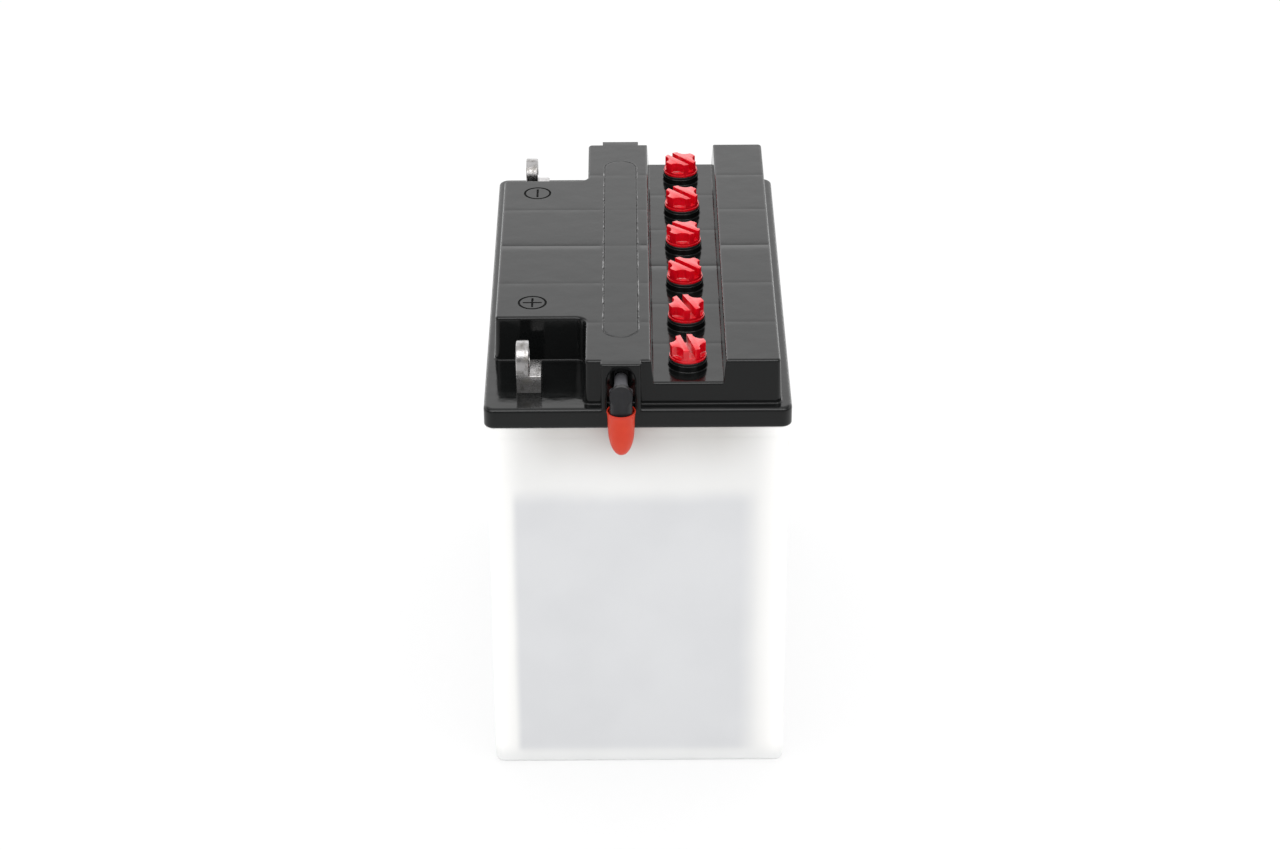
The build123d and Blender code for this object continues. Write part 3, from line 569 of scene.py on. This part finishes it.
def elbow(material):
    """Elbow: flared neck out of the lid, arched head, rounded leg and the nozzle that the cap closes."""
    collar_radius, collar_length, tail_radius, tail_length = 3.72 * MM, 1.9 * MM, 2.1 * MM, 4.6 * MM
    leg_depth, leg_rounding, nozzle_radius, bore_radius = 6.6 * MM, 2.0 * MM, 3.0 * MM, 1.6 * MM
    low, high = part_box("vent_elbow")
    x, front, tail_end = (low.x + high.x) / 2, low.y, high.y
    axis = high.z - collar_radius
    leg_y, shoulder = front + leg_depth / 2, axis - 7.9 * MM
    head = start("moulded_elbow", bpy.ops.mesh.primitive_cylinder_add, vertices=72, radius=collar_radius,
                 depth=collar_length, location=(x, front + collar_length / 2, axis), rotation=(pi / 2, 0, 0))
    settle(head)

    # the back face is drawn out and narrowed ring by ring into the neck and the tail in the lid
    pick(head, lambda place: place.y > front + collar_length / 2)
    radius, at = collar_radius, front + collar_length
    rings = [(ring_radius * MM, front + behind * MM) for ring_radius, behind in NECK]
    for new_radius, new_at in rings + [(tail_radius, tail_end - tail_length), (tail_radius, tail_end)]:
        bpy.ops.mesh.extrude_region_move(TRANSFORM_OT_translate={"value": (0, new_at - at, 0)})
        bpy.ops.transform.resize(value=(new_radius / radius, 1.0, new_radius / radius),
                                 center_override=(x, new_at, axis))
        radius, at = new_radius, new_at
    bpy.ops.object.mode_set(mode="OBJECT")

    # the leg is a box with its upright edges rounded
    leg = brick("leg", (low.x + 0.02 * MM, front, shoulder), (high.x - 0.02 * MM, front + leg_depth, axis))
    pick(leg, lambda place: True)
    shape = bmesh.from_edit_mesh(leg.data)
    for edge in shape.edges:
        edge.select = abs(edge.verts[0].co.z - edge.verts[1].co.z) > MM
    bpy.context.tool_settings.mesh_select_mode = (False, True, False)
    shape.select_flush_mode()
    bmesh.update_edit_mesh(leg.data)
    bpy.ops.mesh.bevel(offset=leg_rounding, segments=8, affect="EDGES")
    bpy.ops.object.mode_set(mode="OBJECT")
    combine(head, leg, "UNION")
    modify(head, "BEVEL", width=0.28 * MM, segments=3, limit_method="ANGLE", angle_limit=radians(45))

    combine(head, cylinder("nozzle", nozzle_radius, low.z, shoulder + 0.6 * MM, x, leg_y), "UNION")
    bore = cylinder("bore", bore_radius, low.z - MM, axis - 0.5 * MM, x, leg_y, 40)
    combine(head, bore, "DIFFERENCE")
    dress(head, material, "housing", "vent_elbow")


def cap(material):
    """Push-on cap: bullet nose, straight wall and a lip that flares out round the leg."""
    low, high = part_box("vent_cap")
    x, y = (low.x + high.x) / 2, (low.y + high.y) / 2
    full_height = 16.3      # millimetres from tip to lip, as the rings' heights below count them
    outside = ((0.9, 0.1), (1.9, 0.75), (2.75, 1.95), (3.45, 3.6), (3.95, 5.6), (4.22, 7.6),
               (4.33, 9.6), (4.36, 12.2), (4.45, 14.2), (4.64, 15.6), (4.73, 16.15))
    inside = ((4.7, 16.27), (4.42, 16.26), (4.24, 16.1), (4.2, 15.3), (4.18, 15.02), (3.2, 15.0),
              (3.08, 14.9), (3.08, 14.0), (3.08, 4.6), (3.0, 4.22), (1.0, 4.2))
    rings = [(radius * MM, low.z + height * (high.z - low.z) / full_height)
             for radius, height in outside + inside]
    piece = ring_by_ring("push_on_cap", rings, x, y)
    modify(piece, "SUBSURF", levels=2, render_levels=2)
    dress(piece, material, "vent_cap", "vent_cap", 60)


# ---------------------------------------------------------------- terminals
def cast_terminal(material, name, node):
    """Cast lead terminal: the CAD shape with the soft edges of a worn casting."""
    piece = copy_of(node, name)
    modify(piece, "BEVEL", width=0.25 * MM, segments=2, limit_method="ANGLE", angle_limit=radians(50))
    dress(piece, material, "housing", node)


# ---------------------------------------------------------------- studio
def studio_floor():
    """White floor that keeps the contact shadow and otherwise shows as plain white."""
    bpy.ops.mesh.primitive_plane_add(size=12.0)
    floor = bpy.context.object
    floor.name = "studio_floor"
    material = bpy.data.materials.new("floor_white")
    material.use_nodes = True
    tree = material.node_tree
    tree.nodes.clear()
    rays = add(tree, "LightPath").outputs
    seen = add(tree, "Math", rays["Is Glossy Ray"], rays["Is Transmission Ray"], operation="MAXIMUM")
    seen = add(tree, "Math", rays["Is Camera Ray"], seen, operation="MAXIMUM")
    glow_share = add(tree, "Math", seen, 0.75, operation="MULTIPLY")
    # in mirrors the floor is dimmer in front of the object, where the studio is darker
    along = add(tree, "SeparateXYZ", add(tree, "TexCoord").outputs["Object"]).outputs["Y"]
    dim = add(tree, "MapRange", along, -0.4, -0.05, 0.45, 1.0, **EASED)
    dim = add(tree, "Math", dim, rays["Is Camera Ray"], operation="MAXIMUM")
    paint = add(tree, "BsdfDiffuse", {"Color": (0.92, 0.92, 0.92, 1.0)})
    glow = add(tree, "Emission", {"Color": WHITE, "Strength": dim})
    add(tree, "OutputMaterial", add(tree, "MixShader", glow_share, paint, glow))
    floor.data.materials.append(material)


def studio_world():
    """White surroundings: plain white to the eye; mirrors see a bright band, lights and a dim front.

    A light's edges are shares of the direction that it is seen in: across (X), back (Y) and up (Z).
    """
    world = bpy.data.worlds.new("studio")
    bpy.context.scene.world = world
    world.use_nodes = True
    tree = world.node_tree
    tree.nodes.clear()
    rays = add(tree, "LightPath").outputs
    across, back, up = add(tree, "SeparateXYZ", add(tree, "TexCoord").outputs["Generated"]).outputs
    aside = add(tree, "Math", across, operation="ABSOLUTE")
    # a bright band low down all round, and two low strip lights far back at the sides
    band = within(tree, (up, 0.12, 0.32, 0.9, 1.55), (up, 0.34, 0.42, 1.0, 0.88), (up, 0.47, 0.75, 1.0, 0.37))
    upright = within(tree, (aside, 0.42, 0.44), (aside, 0.51, 0.53, 1.0, 0.0), (up, 0.05, 0.09, 1.0, 0.0),
                     (back, 0.5, 0.6))
    mirror = add(tree, "Math", upright, 3.0, band, operation="MULTIPLY_ADD")
    # all that is dimmer on the near side, most of all low down
    behind = add(tree, "MapRange", back, -0.5, 0.3, **EASED)
    near = add(tree, "MapRange", up, 0.2, 0.35, 0.12, 0.42, **EASED)
    front = add(tree, "Mix", behind, near, 1.0, data_type="FLOAT")
    mirror = add(tree, "Math", mirror, front, operation="MULTIPLY")
    # a broad softbox overhead, and a narrow strip light right across, high in front
    over = within(tree, (up, 0.66, 0.78), (aside, 0.4, 0.55, 1.0, 0.0))
    strip = within(tree, (back, -0.84, -0.76), (back, -0.42, -0.36, 1.0, 0.0), (up, 0.45, 0.55))
    for light, brightness in ((over, 0.5), (strip, 3.2)):
        mirror = add(tree, "Math", light, brightness, mirror, operation="MULTIPLY_ADD")
    fill = add(tree, "Mix", rays["Is Diffuse Ray"], mirror, 0.62, data_type="FLOAT")
    seen = add(tree, "Math", rays["Is Camera Ray"], rays["Is Transmission Ray"], operation="MAXIMUM")
    strength = add(tree, "Mix", seen, fill, 1.0, data_type="FLOAT")
    add(tree, "OutputWorld", add(tree, "Background", {"Color": WHITE, "Strength": strength}))


def softbox(name, place, size, power):
    """A square area lamp that faces the object and stays out of reflections."""
    object_middle = Vector((0.0, 0.0, 80 * MM))
    bpy.ops.object.light_add(type="AREA", location=place)
    lamp = bpy.context.object
    lamp.name = name
    lamp.data.energy = power
    lamp.data.size = size
    lamp.rotation_euler = (object_middle - Vector(place)).to_track_quat("-Z", "Y").to_euler()
    lamp.visible_glossy = False


def studio_camera():
    """Looks along +Y and down, with a long lens, at the vented end."""
    place = (-0.00324, -1.0152, 0.6567)
    down, across, tilt = radians(29.42), radians(0.241), radians(-0.225)
    bpy.ops.object.camera_add()
    camera = bpy.context.object
    camera.data.sensor_width = 36.0
    camera.data.lens = 92.52
    camera.data.clip_start = 0.05
    turn = (Matrix.Rotation(-across, 4, "Z") @ Matrix.Rotation(pi / 2 - down, 4, "X")
            @ Matrix.Rotation(tilt, 4, "Z"))
    camera.matrix_world = Matrix.Translation(place) @ turn
    bpy.context.scene.camera = camera


# ---------------------------------------------------------------- the whole scene
give(moulded_polypropylene_black(), "lid", "gallery_cover")
give(translucent_polypropylene(), "case")
give(plain("burned_lead", "#7b7f86", 0.5, 1.0), "partition_welds",
     *[f"{polarity}_strap_{n}" for n in CELLS for polarity in ("positive", "negative")])
give(plain("lead_dioxide_paste", "#4a3026", 0.85), *[f"positive_plates_{n}" for n in CELLS])
give(plain("sponge_lead_paste", "#85888d", 0.75), *[f"negative_plates_{n}" for n in CELLS])
give(plain("glass_mat", "#d9dadb", 0.9), *[f"separators_{n}" for n in CELLS])

vent_plugs(moulded_plug_red())
plug_seals(seal_rubber())
elbow(moulded_elbow_black())
cap(dipped_vinyl_red())
lead = cast_lead()
for polarity in ("positive", "negative"):
    cast_terminal(lead, f"cast_terminal_{polarity}", f"terminal_{polarity}")

studio_floor()
studio_world()
softbox("softbox_above", (0.0, 0.35, 1.3), size=1.2, power=9.0)
for side, x in (("left", -1.1), ("right", 1.1)):
    softbox(f"softbox_{side}", (x, -0.7, 0.6), size=0.9, power=4.0)
studio_camera()
bpy.context.scene.view_settings.view_transform = "Standard"
